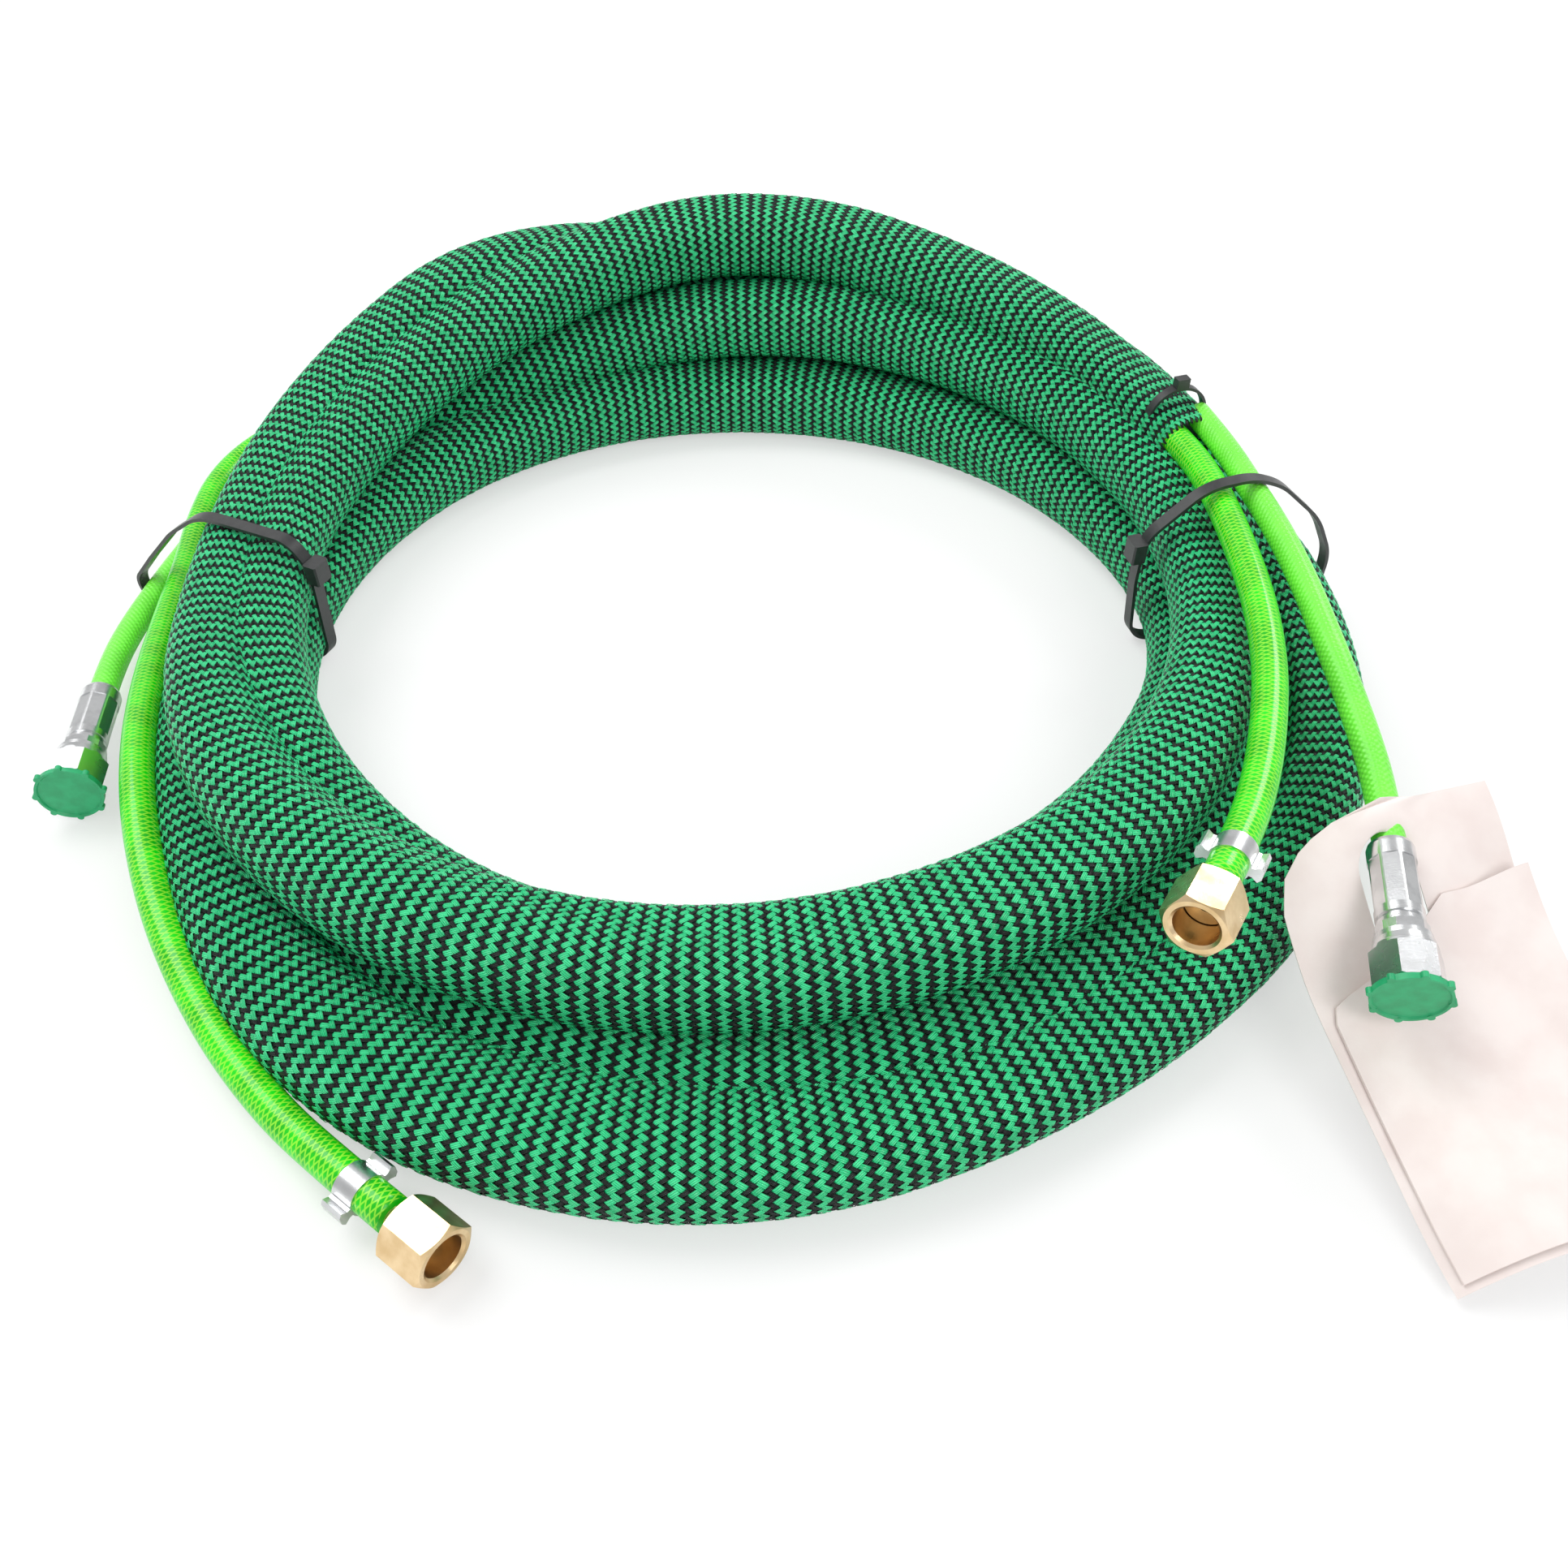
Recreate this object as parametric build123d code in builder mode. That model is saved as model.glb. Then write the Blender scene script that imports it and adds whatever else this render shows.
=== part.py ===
"""Sleeved twin-hose spray lead, coiled flat and tied: an air hose and a fluid hose in one braided sleeve.

Millimetres, +Z up. The coil lies on the floor at z = 0, its front towards -Y, and the origin is the middle
of the whole lead's bounding box, on the floor.
"""
import os

from build123d import *
from math import cos, pi, radians, sin, tan

os.makedirs("parts", exist_ok=True)

# Coil: where its centre stands, and the bundle's outline at angles from +X, 30 degrees apart.
COIL_X = -11.985
COIL_Y = 15.434
COIL_OUTLINE = {  # angle: (inner radius, outer radius, underside, top of the outer side, shoulder radius, top)
    180: (155.0, 204.0, 3.0, 32.0, 188.0, 50.0),
    150: (152.0, 234.0, 0.0, 30.0, 215.0, 62.0),
    120: (149.0, 234.0, 0.0, 60.0, 212.0, 80.0),
    90: (146.0, 223.0, 0.0, 64.0, 210.0, 94.0),
    60: (147.0, 223.0, 0.0, 60.0, 206.0, 86.0),
    30: (152.0, 219.0, 0.0, 48.0, 200.0, 68.0),
    0: (157.0, 220.0, 3.0, 34.0, 200.0, 51.0),
    -30: (147.0, 229.0, 0.0, 30.0, 192.0, 55.0),
    -60: (143.0, 229.0, 0.0, 30.0, 194.0, 57.0),
    -90: (144.0, 237.0, 0.0, 28.0, 196.0, 54.0),
    -120: (144.0, 234.0, 0.0, 28.0, 200.0, 54.0),
    -150: (151.0, 212.0, 0.0, 34.0, 198.0, 53.0),
    -180: (155.0, 204.0, 3.0, 32.0, 188.0, 50.0),
}
COIL_STEP = 15  # degrees between the coil's sections
COIL_CORNER = 9.0  # rounding of the bundle's corners

# Hoses.
AIR_D = 11.1
FLUID_D = 9.6
HOSE_BITE = 3.0  # length of fluid hose held inside its ferrule's mouth

# Swivel nuts, both kinds, for a 1/4 inch straight pipe thread.
NUT_AF = 17.5
NUT_THREAD_R = 6.24
NUT_WALL = 3.5  # thickness of the wall that the stem's neck passes through
NUT_CHAMBER_R = 7.0
NUT_MOUTH = 0.8  # chamfer at the nut's mouth
SWIVEL_GAP = 0.05  # running clearance round a neck
HEAD_GAP = 0.3  # end clearance of a stem's head in its nut
HEAD_LENGTH = 2.6

# Air hose ends, along the axis from the hose's cut face.
AIR_NECK_R = 3.25
AIR_NECK_LENGTH = 3.7  # bare neck between hose and nut
AIR_NUT_LENGTH = 16.0
BARB_LENGTH = 18.0
BARB_R = 3.3
BARB_STEP = 6.0
STEM_BORE_R = 1.9
CLAMP_WIDTH = 7.5
CLAMP_THICK = 0.7
CLAMP_BITE = 0.1  # how far the band presses into the hose
CLAMP_BACK = 13.5  # from the hose's cut face to the clamp's middle
EAR_PROUD = 3.4
EAR_NECK = 3.0
EAR_WIDTH = 5.2

# Fluid hose ends, along the axis from the ferrule's mouth.
FERRULE_R = 6.75
FERRULE_LENGTH = 26.0
FERRULE_BITE = 0.1
CRIMP_COUNT = 8
CRIMP_DEPTH = 0.35
GROOVE_BACK = 2.4  # from the ferrule's front face to its groove
RING_LENGTH = 3.0
RING_R = 7.4
FLUID_NECK_R = 4.8
DOME_LENGTH = 5.0
DOME_BACK_R = 7.9
HEX_LENGTH = 12.0
RING_GAP = 0.3

# Green transit plugs.
PLUG_R = 10.75
PLUG_THICK = 1.4
PLUG_RIM = 0.5
PLUG_SHANK = 8.0
PLUG_WALL = 1.2
PLUG_FIT = 0.08
PLUG_GAP = 0.3
NUB_R = 1.1
NUB_COUNT = 8

# Cable ties.
TIE_WIDTH = 4.8
TIE_THICK = 1.3
TIE_HEAD = (8.0, 7.6, 5.6)
SMALL_TIE_WIDTH = 3.6
SMALL_TIE_THICK = 1.1
SMALL_TIE_R = 11.6
SMALL_TIE_HEAD = 5.2

# Paper tag: a cover sheet with the hose's hole, and a booklet of leaves on it.
TAG_HOLE_X = 194.0  # from the coil's centre
TAG_HOLE_Y = -146.0
TAG_TURN = -75.0  # heading of the tag's length, degrees from +X
TAG_LEFT = 35.0
TAG_RIGHT = 41.0
COVER_THICK = 0.5
LEAVES_THICK = 1.2
TAG_TOP = -20.0  # ends of the tag along its length, from the hole
TAG_FOOT = 103.0
TAG_BEND = 15.0  # where it bends down to the floor
TAG_TOP_Z = 55.5
TAG_BEND_Z = 30.0
TAG_FOOT_Z = 0.4
TAG_SLOT = (-15.0, 21.0, 11.0)  # hole: two ends along the length, and half width
LEAVES_TOP = 6.0


def from_coil(x, y, z):
    """A point given from the coil's centre."""
    return Vector(COIL_X + x, COIL_Y + y, z)


# Routes of the four bare hose ends, from the sleeve to the fitting, given from the coil's centre.
ROUTES = {
    "air_hose_tail_a": [
        (-186, 147, 17), (-207, 123, 17), (-219, 94, 17), (-219.5, 63, 16), (-216.5, 34, 14.5),
        (-214, 2, 15.5), (-208, -38, 19), (-199, -75, 22), (-187, -110, 21), (-171, -144, 15),
        (-149, -176, 10), (-125, -202, 8.5), (-103, -220, 9.6), (-84, -234.5, 10.5),
    ],
    "air_hose_tail_b": [
        (163.5, 76, 56), (172, 50, 57.5), (175.5, 22, 58.5), (176.8, -8, 58.8), (176.5, -40, 58.8),
        (172.5, -72, 58.8), (165, -101, 58.5), (156.3, -125.5, 59), (145.8, -147, 60.6), (134.3, -166, 63.4),
    ],
    "fluid_hose_tail_a": [
        (-188, 145, 6.3), (-209, 121, 6.3), (-220.5, 94, 6.3), (-224, 64, 6.3), (-228.3, 36, 7.2),
        (-231, 5, 8.7), (-229.9, -19, 10.6), (-227.2, -38.5, 11.4),
    ],
    "fluid_hose_tail_b": [
        (178.5, 72, 60.5), (184, 50, 60.5), (188, 24, 60), (192, -2, 59.3), (194.5, -30, 58),
        (195.5, -62, 56), (197.5, -92, 51.5), (198.2, -117, 46.6), (194.3, -140.6, 45),
    ],
}


def export(part, name):
    """Label one finished piece and write it."""
    part.label = name
    export_step(part, f"parts/{name}.step")


def hose(name, diameter):
    """A hose along its route: straight runs joined by arcs as large as the runs allow."""
    points = [from_coil(*point) for point in ROUTES[name]]
    runs = [points[i + 1] - points[i] for i in range(len(points) - 1)]
    radii = []
    for first, second in zip(runs, runs[1:]):
        turn = radians(first.get_angle(second))
        radii.append(0.45 * min(first.length, second.length) / tan(turn / 2))
    print(name, "radii", [round(radius) for radius in radii])
    with BuildPart() as tube:
        with BuildLine() as route:
            FilletPolyline(*points, radius=radii)
        with BuildSketch(Plane(origin=points[0], z_dir=runs[0])):
            Circle(diameter / 2)
        sweep(path=route.wires()[0])
    length = route.wires()[0].length
    solid_length = tube.part.volume / (pi * diameter * diameter / 4)
    print(name, "length", round(length, 1), "from volume", round(solid_length, 1))
    export(tube.part, name)
    return Plane(origin=points[-1], z_dir=runs[-1], x_dir=Vector(0, 0, 1).cross(runs[-1]))


def turned_profile(end, outline):
    """A closed outline of (distance along the axis, radius) points, ready to revolve."""
    with BuildSketch(Plane(origin=end.origin, x_dir=end.z_dir, z_dir=end.x_dir)) as profile:
        with BuildLine():
            Polyline(*outline, close=True)
        make_face()
    return profile.sketch


def axis_of(end):
    """The axis of a hose end, pointing out of the hose."""
    return Axis(end.origin, end.z_dir)


def nut_bore(end, back, front, neck_r):
    """What is cut out of a swivel nut: neck hole, head chamber, thread and mouth."""
    chamber_end = back + NUT_WALL + HEAD_LENGTH + 2 * HEAD_GAP
    return turned_profile(end, [
        (back - 1, 0), (back - 1, neck_r + SWIVEL_GAP), (back + NUT_WALL, neck_r + SWIVEL_GAP),
        (back + NUT_WALL, NUT_CHAMBER_R), (chamber_end, NUT_CHAMBER_R), (chamber_end, NUT_THREAD_R),
        (front - NUT_MOUTH, NUT_THREAD_R), (front + 1, NUT_THREAD_R + NUT_MOUTH + 1), (front + 1, 0),
    ])


def air_end(side, end):
    """Clamp, barbed stem and swivel nut of one air hose end."""
    axis = axis_of(end)
    nut_back = AIR_NECK_LENGTH
    nut_front = nut_back + AIR_NUT_LENGTH
    head_back = nut_back + NUT_WALL + HEAD_GAP
    corner_r = NUT_AF / 2 / cos(radians(30))

    with BuildPart() as stem:
        barb = []
        for step in range(int(BARB_LENGTH / BARB_STEP)):
            barb += [(-BARB_LENGTH + step * BARB_STEP, BARB_R - 0.5), (-BARB_LENGTH + (step + 1) * BARB_STEP, BARB_R)]
        revolve(turned_profile(end, [
            (-BARB_LENGTH, STEM_BORE_R), *barb, (0.0, AIR_NECK_R), (head_back, AIR_NECK_R),
            (head_back, NUT_THREAD_R - 0.3), (head_back + HEAD_LENGTH, NUT_THREAD_R - 0.3),
            (head_back + HEAD_LENGTH, STEM_BORE_R),
        ]), axis=axis)
    export(stem.part, f"air_stem_{side}")

    with BuildPart() as nut:
        with BuildSketch(Plane(origin=end.origin, x_dir=end.x_dir, z_dir=end.z_dir).offset(nut_back)):
            RegularPolygon(NUT_AF / 2, 6, major_radius=False)
        extrude(amount=AIR_NUT_LENGTH)
        revolve(turned_profile(end, [
            (nut_back, 0), (nut_back, NUT_AF / 2 - 0.3), (nut_back + 1.0, corner_r),
            (nut_front - 1.0, corner_r), (nut_front, NUT_AF / 2 - 0.3), (nut_front, 0),
        ]), axis=axis, mode=Mode.INTERSECT)
        revolve(nut_bore(end, nut_back, nut_front, AIR_NECK_R), axis=axis, mode=Mode.SUBTRACT)
    export(nut.part, f"air_nut_{side}")

    band_in = AIR_D / 2 - CLAMP_BITE
    band_out = band_in + CLAMP_THICK
    ear_top = band_out + EAR_PROUD
    band_plane = Plane(origin=end.origin, x_dir=end.x_dir, z_dir=end.z_dir).offset(-CLAMP_BACK)
    with BuildPart() as clamp:
        with BuildSketch(band_plane):
            Circle(band_out)
            for mirror_sign in (1, -1):
                with BuildLine():
                    Polyline(
                        (mirror_sign * (band_out - 0.6), -EAR_NECK / 2), (mirror_sign * (band_out + 0.8), -EAR_NECK / 2),
                        (mirror_sign * (ear_top - 0.9), -EAR_WIDTH / 2), (mirror_sign * ear_top, -EAR_WIDTH / 4),
                        (mirror_sign * ear_top, EAR_WIDTH / 4), (mirror_sign * (ear_top - 0.9), EAR_WIDTH / 2),
                        (mirror_sign * (band_out + 0.8), EAR_NECK / 2), (mirror_sign * (band_out - 0.6), EAR_NECK / 2),
                        close=True,
                    )
                make_face()
            Circle(band_in, mode=Mode.SUBTRACT)
        extrude(amount=CLAMP_WIDTH / 2, both=True)
    export(clamp.part, f"air_clamp_{side}")
    mouth = end.origin + end.z_dir * (nut_front - NUT_MOUTH)
    print(f"air_nut_{side}", "mouth", mouth, "axis", end.z_dir)


def fluid_end(side, end):
    """Ferrule, swivel stem, nut and transit plug of one fluid hose end."""
    axis = axis_of(end)
    cross = Plane(origin=end.origin, x_dir=end.x_dir, z_dir=end.z_dir)
    ring_front = FERRULE_LENGTH + RING_LENGTH
    nut_back = ring_front + RING_GAP
    hex_back = nut_back + DOME_LENGTH
    nut_front = hex_back + HEX_LENGTH
    head_back = nut_back + NUT_WALL + HEAD_GAP
    corner_r = NUT_AF / 2 / cos(radians(30))
    groove = FERRULE_LENGTH - GROOVE_BACK

    with BuildPart() as ferrule:
        revolve(turned_profile(end, [
            (-HOSE_BITE, FLUID_D / 2 - FERRULE_BITE), (-HOSE_BITE, FERRULE_R - 0.4), (-HOSE_BITE + 1.2, FERRULE_R),
            (groove - 0.7, FERRULE_R), (groove - 0.4, FERRULE_R - 0.7), (groove + 0.4, FERRULE_R - 0.7),
            (groove + 0.7, FERRULE_R), (FERRULE_LENGTH - 0.4, FERRULE_R), (FERRULE_LENGTH, FERRULE_R - 0.4),
            (FERRULE_LENGTH, 0), (0, 0), (0, FLUID_D / 2 - FERRULE_BITE),
        ]), axis=axis)
        with BuildSketch(cross.offset(3.0)):
            Circle(FERRULE_R + 1)
            RegularPolygon(FERRULE_R - CRIMP_DEPTH, CRIMP_COUNT, major_radius=False, mode=Mode.SUBTRACT)
        extrude(amount=groove - 6.5, mode=Mode.SUBTRACT)
    export(ferrule.part, f"fluid_ferrule_{side}")

    with BuildPart() as stem:
        revolve(turned_profile(end, [
            (FERRULE_LENGTH, STEM_BORE_R), (FERRULE_LENGTH, RING_R), (ring_front, RING_R),
            (ring_front, FLUID_NECK_R), (head_back, FLUID_NECK_R), (head_back, NUT_THREAD_R - 0.3),
            (head_back + HEAD_LENGTH, NUT_THREAD_R - 0.3), (head_back + HEAD_LENGTH, STEM_BORE_R),
        ]), axis=axis)
        with BuildSketch(cross.offset(FERRULE_LENGTH)):
            Circle(RING_R + 1)
            RegularPolygon(RING_R - 0.25, 12, major_radius=False, mode=Mode.SUBTRACT)
        extrude(amount=RING_LENGTH, mode=Mode.SUBTRACT)
    export(stem.part, f"fluid_stem_{side}")

    with BuildPart() as nut:
        with BuildSketch(cross.offset(nut_back)):
            RegularPolygon(NUT_AF / 2, 6, major_radius=False)
        extrude(amount=DOME_LENGTH + HEX_LENGTH)
        revolve(turned_profile(end, [
            (nut_back, 0), (nut_back, DOME_BACK_R), (nut_back + 1.6, DOME_BACK_R), (nut_back + 1.9, DOME_BACK_R + 0.4),
            (hex_back - 1.2, NUT_AF / 2 - 0.1), (hex_back - 0.9, NUT_AF / 2 + 0.1), (hex_back, NUT_AF / 2 + 0.2),
            (hex_back + 0.8, corner_r), (nut_front - 0.8, corner_r), (nut_front, NUT_AF / 2 - 0.2), (nut_front, 0),
        ]), axis=axis, mode=Mode.INTERSECT)
        revolve(nut_bore(end, nut_back, nut_front, FLUID_NECK_R), axis=axis, mode=Mode.SUBTRACT)
    export(nut.part, f"fluid_nut_{side}")

    face = nut_front + PLUG_GAP
    shank_r = NUT_THREAD_R - PLUG_FIT
    with BuildPart() as plug:
        revolve(turned_profile(end, [
            (nut_front - PLUG_SHANK, shank_r - PLUG_WALL), (nut_front - PLUG_SHANK, shank_r), (face, shank_r),
            (face, PLUG_R), (face + PLUG_THICK + PLUG_RIM, PLUG_R), (face + PLUG_THICK + PLUG_RIM, PLUG_R - 0.8),
            (face + PLUG_THICK, PLUG_R - 1.2), (face + PLUG_THICK, 0), (face, 0), (face, shank_r - PLUG_WALL),
        ]), axis=axis)
        with BuildSketch(cross.offset(face)):
            with PolarLocations(PLUG_R, NUB_COUNT):
                Circle(NUB_R)
        extrude(amount=PLUG_THICK + PLUG_RIM)
    export(plug.part, f"fluid_plug_{side}")
    print(f"fluid_nut_{side}", "mouth", end.origin + end.z_dir * nut_front, "axis", end.z_dir)


def coil_outline(angle):
    """The bundle's outline at any angle, in between the listed ones."""
    low = (angle // 30) * 30
    high = min(low + 30, 180)
    share = (angle - low) / 30
    return [a + (b - a) * share for a, b in zip(COIL_OUTLINE[low], COIL_OUTLINE[high])]


def coil_half(start):
    """Half of the coil, lofted through its sections from one angle."""
    with BuildPart() as half:
        for step in range(180 // COIL_STEP + 1):
            angle = start + step * COIL_STEP
            inner, outer, underside, outer_top, shoulder, top = coil_outline(angle)
            outward = Vector(cos(radians(angle)), sin(radians(angle)), 0)
            with BuildSketch(Plane(origin=from_coil(0, 0, 0), x_dir=outward, z_dir=outward.cross(Vector(0, 0, 1)))):
                with BuildLine():
                    FilletPolyline(
                        (inner, underside), (outer, underside), (outer, outer_top), (shoulder, top), (inner, top),
                        radius=COIL_CORNER, close=True,
                    )
                make_face()
        loft(ruled=True)
    return half.part


def bundle_tie(name, inner, turn, corners, head_at):
    """A cable tie round the bundle: a closed strap in an upright plane, with its head.

    Each corner is (distance along the plane, height, bend radius).
    """
    places = [corner[:2] for corner in corners]
    bends = [corner[2] for corner in corners]
    heading = Vector(cos(radians(turn)), sin(radians(turn)), 0)
    upright = Plane(origin=from_coil(*inner), x_dir=heading, z_dir=heading.cross(Vector(0, 0, 1)))
    with BuildPart() as tie:
        with BuildSketch(upright):
            with BuildLine():
                FilletPolyline(*places, radius=bends, close=True)
            make_face()
            offset(amount=TIE_THICK)
            with BuildLine():
                FilletPolyline(*places, radius=bends, close=True)
            make_face(mode=Mode.SUBTRACT)
        extrude(amount=TIE_WIDTH / 2, both=True)
        x, z, tilt = head_at
        seat = Plane(origin=upright.from_local_coords((x, z, 0)), x_dir=heading, z_dir=upright.z_dir)
        with BuildSketch(seat):
            with Locations(Location((0, 0), tilt)):
                Rectangle(TIE_HEAD[0], TIE_HEAD[2])
        extrude(amount=TIE_HEAD[1] / 2, both=True)
        chamfer(tie.edges().filter_by(GeomType.LINE).filter_by(lambda edge: abs(edge.length - TIE_HEAD[0]) < 0.01), 0.6)
    export(tie.part, name)


def sleeve_tie(name, centre, heading):
    """A small cable tie round one end of the sleeve."""
    across = Plane(origin=from_coil(*centre), x_dir=(0, 0, 1), z_dir=heading)
    with BuildPart() as tie:
        with BuildSketch(across):
            Circle(SMALL_TIE_R + SMALL_TIE_THICK)
            with Locations((SMALL_TIE_R + SMALL_TIE_HEAD / 2, 0)):
                Rectangle(SMALL_TIE_HEAD * 0.8, SMALL_TIE_HEAD)
            Circle(SMALL_TIE_R, mode=Mode.SUBTRACT)
        extrude(amount=SMALL_TIE_WIDTH / 2, both=True)
    export(tie.part, name)


def tag_plane():
    """Upright plane along the tag's length, x down the tag and y up, through its hole."""
    length = Vector(cos(radians(TAG_TURN)), sin(radians(TAG_TURN)), 0)
    return Plane(origin=from_coil(TAG_HOLE_X, TAG_HOLE_Y, 0), x_dir=length, z_dir=length.cross(Vector(0, 0, 1)))


def tag_strip(lift, thick, start):
    """Side view of one layer of the tag: from its start down over the bend to its foot."""
    slope = (TAG_TOP_Z - TAG_BEND_Z) / (TAG_BEND - TAG_TOP)
    start_z = TAG_TOP_Z - slope * (start - TAG_TOP)
    line = [(start, start_z + lift), (TAG_BEND, TAG_BEND_Z + lift), (TAG_FOOT, TAG_FOOT_Z + lift)]
    with BuildSketch(tag_plane()) as strip:
        with BuildLine():
            Polyline(*line, *[(x, z + thick) for x, z in reversed(line)], close=True)
        make_face()
    return strip.sketch


def tag_layer(name, lift, thick, start, outline):
    """One layer of the tag, cut to its outline as seen from above: (along the tag, across it) points."""
    side = tag_plane()
    above = Plane(origin=side.origin, x_dir=side.x_dir, z_dir=(0, 0, 1))
    slot_start, slot_end, slot_half = TAG_SLOT
    with BuildPart() as layer:
        extrude(tag_strip(lift, thick, start), amount=TAG_LEFT + TAG_RIGHT, both=True)
        with BuildSketch(above):
            with BuildLine():
                Polyline(*outline, close=True)
            make_face()
            with Locations(((slot_start + slot_end) / 2, 0)):
                SlotOverall(slot_end - slot_start, 2 * slot_half, mode=Mode.SUBTRACT)
        extrude(amount=2 * TAG_TOP_Z, mode=Mode.INTERSECT)
    export(layer.part, name)


with BuildPart() as sleeve_coil:
    add(coil_half(0))
    add(coil_half(-180))
export(sleeve_coil.part, "sleeve_coil")

air_end("a", hose("air_hose_tail_a", AIR_D))
air_end("b", hose("air_hose_tail_b", AIR_D))
fluid_end("a", hose("fluid_hose_tail_a", FLUID_D))
fluid_end("b", hose("fluid_hose_tail_b", FLUID_D))

bundle_tie(
    "bundle_tie_left", (-152, -4, 0), 155,
    [
        (2, 1.5, 10), (91, 1.5, 4), (94, 9, 8), (80, 24, 40), (64, 40, 40), (46, 53, 25), (6, 54, 9), (-1, 44, 14),
    ], (-3.2, 44.0, 90),
)
bundle_tie(
    "bundle_tie_right", (149.5, 8, 0), 16,
    [
        (2, 1.5, 10), (76, 1.5, 6), (80, 10, 20), (80, 26, 25), (70, 44, 40), (50, 62, 30), (38, 67, 25),
        (20, 66, 20), (-1, 48, 15), (-1, 30, 40),
    ], (-3.2, 44.0, 90),
)
sleeve_tie("sleeve_tie_a", (-183, 150, 13), (-0.7, -0.7, 0))
sleeve_tie("sleeve_tie_b", (170, 73, 59), (0.3, -0.95, 0))

tag_layer("tag_cover", 0.0, COVER_THICK, TAG_TOP, [
    (TAG_TOP, TAG_RIGHT), (-18, 8), (-12, -20), (-4, -TAG_LEFT), (20, -TAG_LEFT), (TAG_FOOT, -31), (TAG_FOOT, TAG_RIGHT),
])
tag_layer("tag_leaves", COVER_THICK, LEAVES_THICK, LEAVES_TOP, [
    (LEAVES_TOP, 38), (LEAVES_TOP, 14), (24, -14), (24, -30), (TAG_FOOT - 2, -29), (TAG_FOOT - 2, 38),
])
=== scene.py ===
"""Sleeved twin-hose spray lead, coiled flat and tied: finish, cords, paper tag, stage and camera. Metres."""

from math import cos, pi, radians, sin

import bmesh
import bpy
import numpy as np
from bpy.props import FloatProperty, FloatVectorProperty, IntProperty, PointerProperty
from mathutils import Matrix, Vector


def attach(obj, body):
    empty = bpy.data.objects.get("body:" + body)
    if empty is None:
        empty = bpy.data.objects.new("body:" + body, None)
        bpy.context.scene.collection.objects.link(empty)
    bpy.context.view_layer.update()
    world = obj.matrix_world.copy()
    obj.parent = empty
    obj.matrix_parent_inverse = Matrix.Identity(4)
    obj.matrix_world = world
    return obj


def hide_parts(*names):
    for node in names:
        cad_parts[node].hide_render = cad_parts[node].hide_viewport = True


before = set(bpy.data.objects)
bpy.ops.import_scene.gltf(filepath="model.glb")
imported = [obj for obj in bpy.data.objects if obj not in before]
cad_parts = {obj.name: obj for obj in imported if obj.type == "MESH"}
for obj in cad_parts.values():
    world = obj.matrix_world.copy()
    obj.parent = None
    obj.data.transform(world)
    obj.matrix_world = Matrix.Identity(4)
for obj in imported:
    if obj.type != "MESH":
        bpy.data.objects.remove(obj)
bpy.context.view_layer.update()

bl_info = {
    "name": "Twin Hose Lead",
    "version": (1, 0, 0),
    "blender": (4, 5, 0),
    "location": "View3D > Sidebar > Hose Lead",
    "description": "Coiled twin-hose lead in a braided sleeve, with its fittings, ties and paper tag",
    "category": "Object",
}

BODY = "lead"
MM = 0.001
COIL_CENTRE = Vector((-0.011985, 0.015434, 0.0))

# Where the sleeve lies: for each turn, from the left side clockwise over the back, right and front, every
# 30 degrees from 180: (radius, height of the middle, width, thickness) in millimetres.
STATION_STEP = 30
TURNS = (
    ((252, 14, 26, 24), (240, 14, 26, 24), (220, 15, 32, 29), (203, 16, 33, 31), (205, 16, 33, 30), (207, 18, 31, 30),
     (210, 20, 28, 30), (217, 16, 28, 28), (210, 13, 38, 24), (217, 12, 43, 23), (216, 13, 38, 25), (198, 14, 29, 27)),
    ((193, 13, 26, 25), (188, 14, 30, 28), (180, 34, 32, 30), (175, 47, 34, 31), (176, 46, 34, 31), (174, 43, 32, 29),
     (171, 39, 26, 25), (173, 41, 32, 29), (176, 42, 34, 31), (177, 38, 34, 32), (181, 39, 34, 31), (185, 40, 30, 28)),
    ((184, 38, 26, 25), (195, 46, 31, 31), (208, 67, 34, 32), (207, 50, 34, 31), (207, 46, 33, 30), (200, 42, 32, 28),
     (194, 14, 27, 26), (187, 15, 30, 29), (193, 15, 33, 29), (190, 14, 34, 27), (181, 14, 33, 27), (170, 14, 27, 26)),
    ((169, 13, 26, 25), (168, 16, 32, 30), (165, 16, 33, 31), (162, 16, 33, 31), (164, 16, 33, 31), (168, 16, 32, 30),
     (170, 13, 26, 25), (161, 14, 30, 28), (158, 15, 32, 29), (160, 15, 32, 29), (164, 17, 32, 30), (168, 31, 30, 28)),
    ((168, 38, 26, 24), (175, 46, 30, 29), (184, 64, 33, 30), (193, 78, 34, 31), (188, 67, 33, 30), (186, 56, 27, 22),
     (184, 52, 26, 20)),
)
SLEEVE_FIRST = 142  # degrees where the sleeve starts, in the first turn
SLEEVE_LAST = 19  # degrees where it ends, in the last turn
SLEEVE_POINT_STEP = 15  # degrees between the points of the sleeve's line
OUTLINE_SQUARENESS = 2.35  # 2 is an ellipse; more is squarer
LINER_DEPTH = 0.0005  # how far the dark sheet of painted shade inside the sleeve lies under its yarns
FLOOR_GAP = 0.0002  # lowest that the sleeve's yarns lie

# One yarn's stretch over two others: rows along it as shares of its half length, points across it as shares of
# its half width, and the drop of its tucked ends and of its two edges.
STRIP_ROWS = (-1.22, -0.66, 0.66, 1.22)
STRIP_SIDES = (-1.0, 0.0, 1.0)
STRIP_POINTS = len(STRIP_ROWS) * len(STRIP_SIDES)
STRIP_TUCK = 0.00040
STRIP_EDGE_DROP = 0.00016
YARN_SPREAD = 0.07  # how much one yarn's width differs from the next, as a share
CLEAR_OF_END = 0.6  # yarns stay this many crossings inside the sleeve's ends
YARN_SEED = 7
DEGREES_A_PIECE = 180  # length of sleeve whose yarns make one piece

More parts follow.
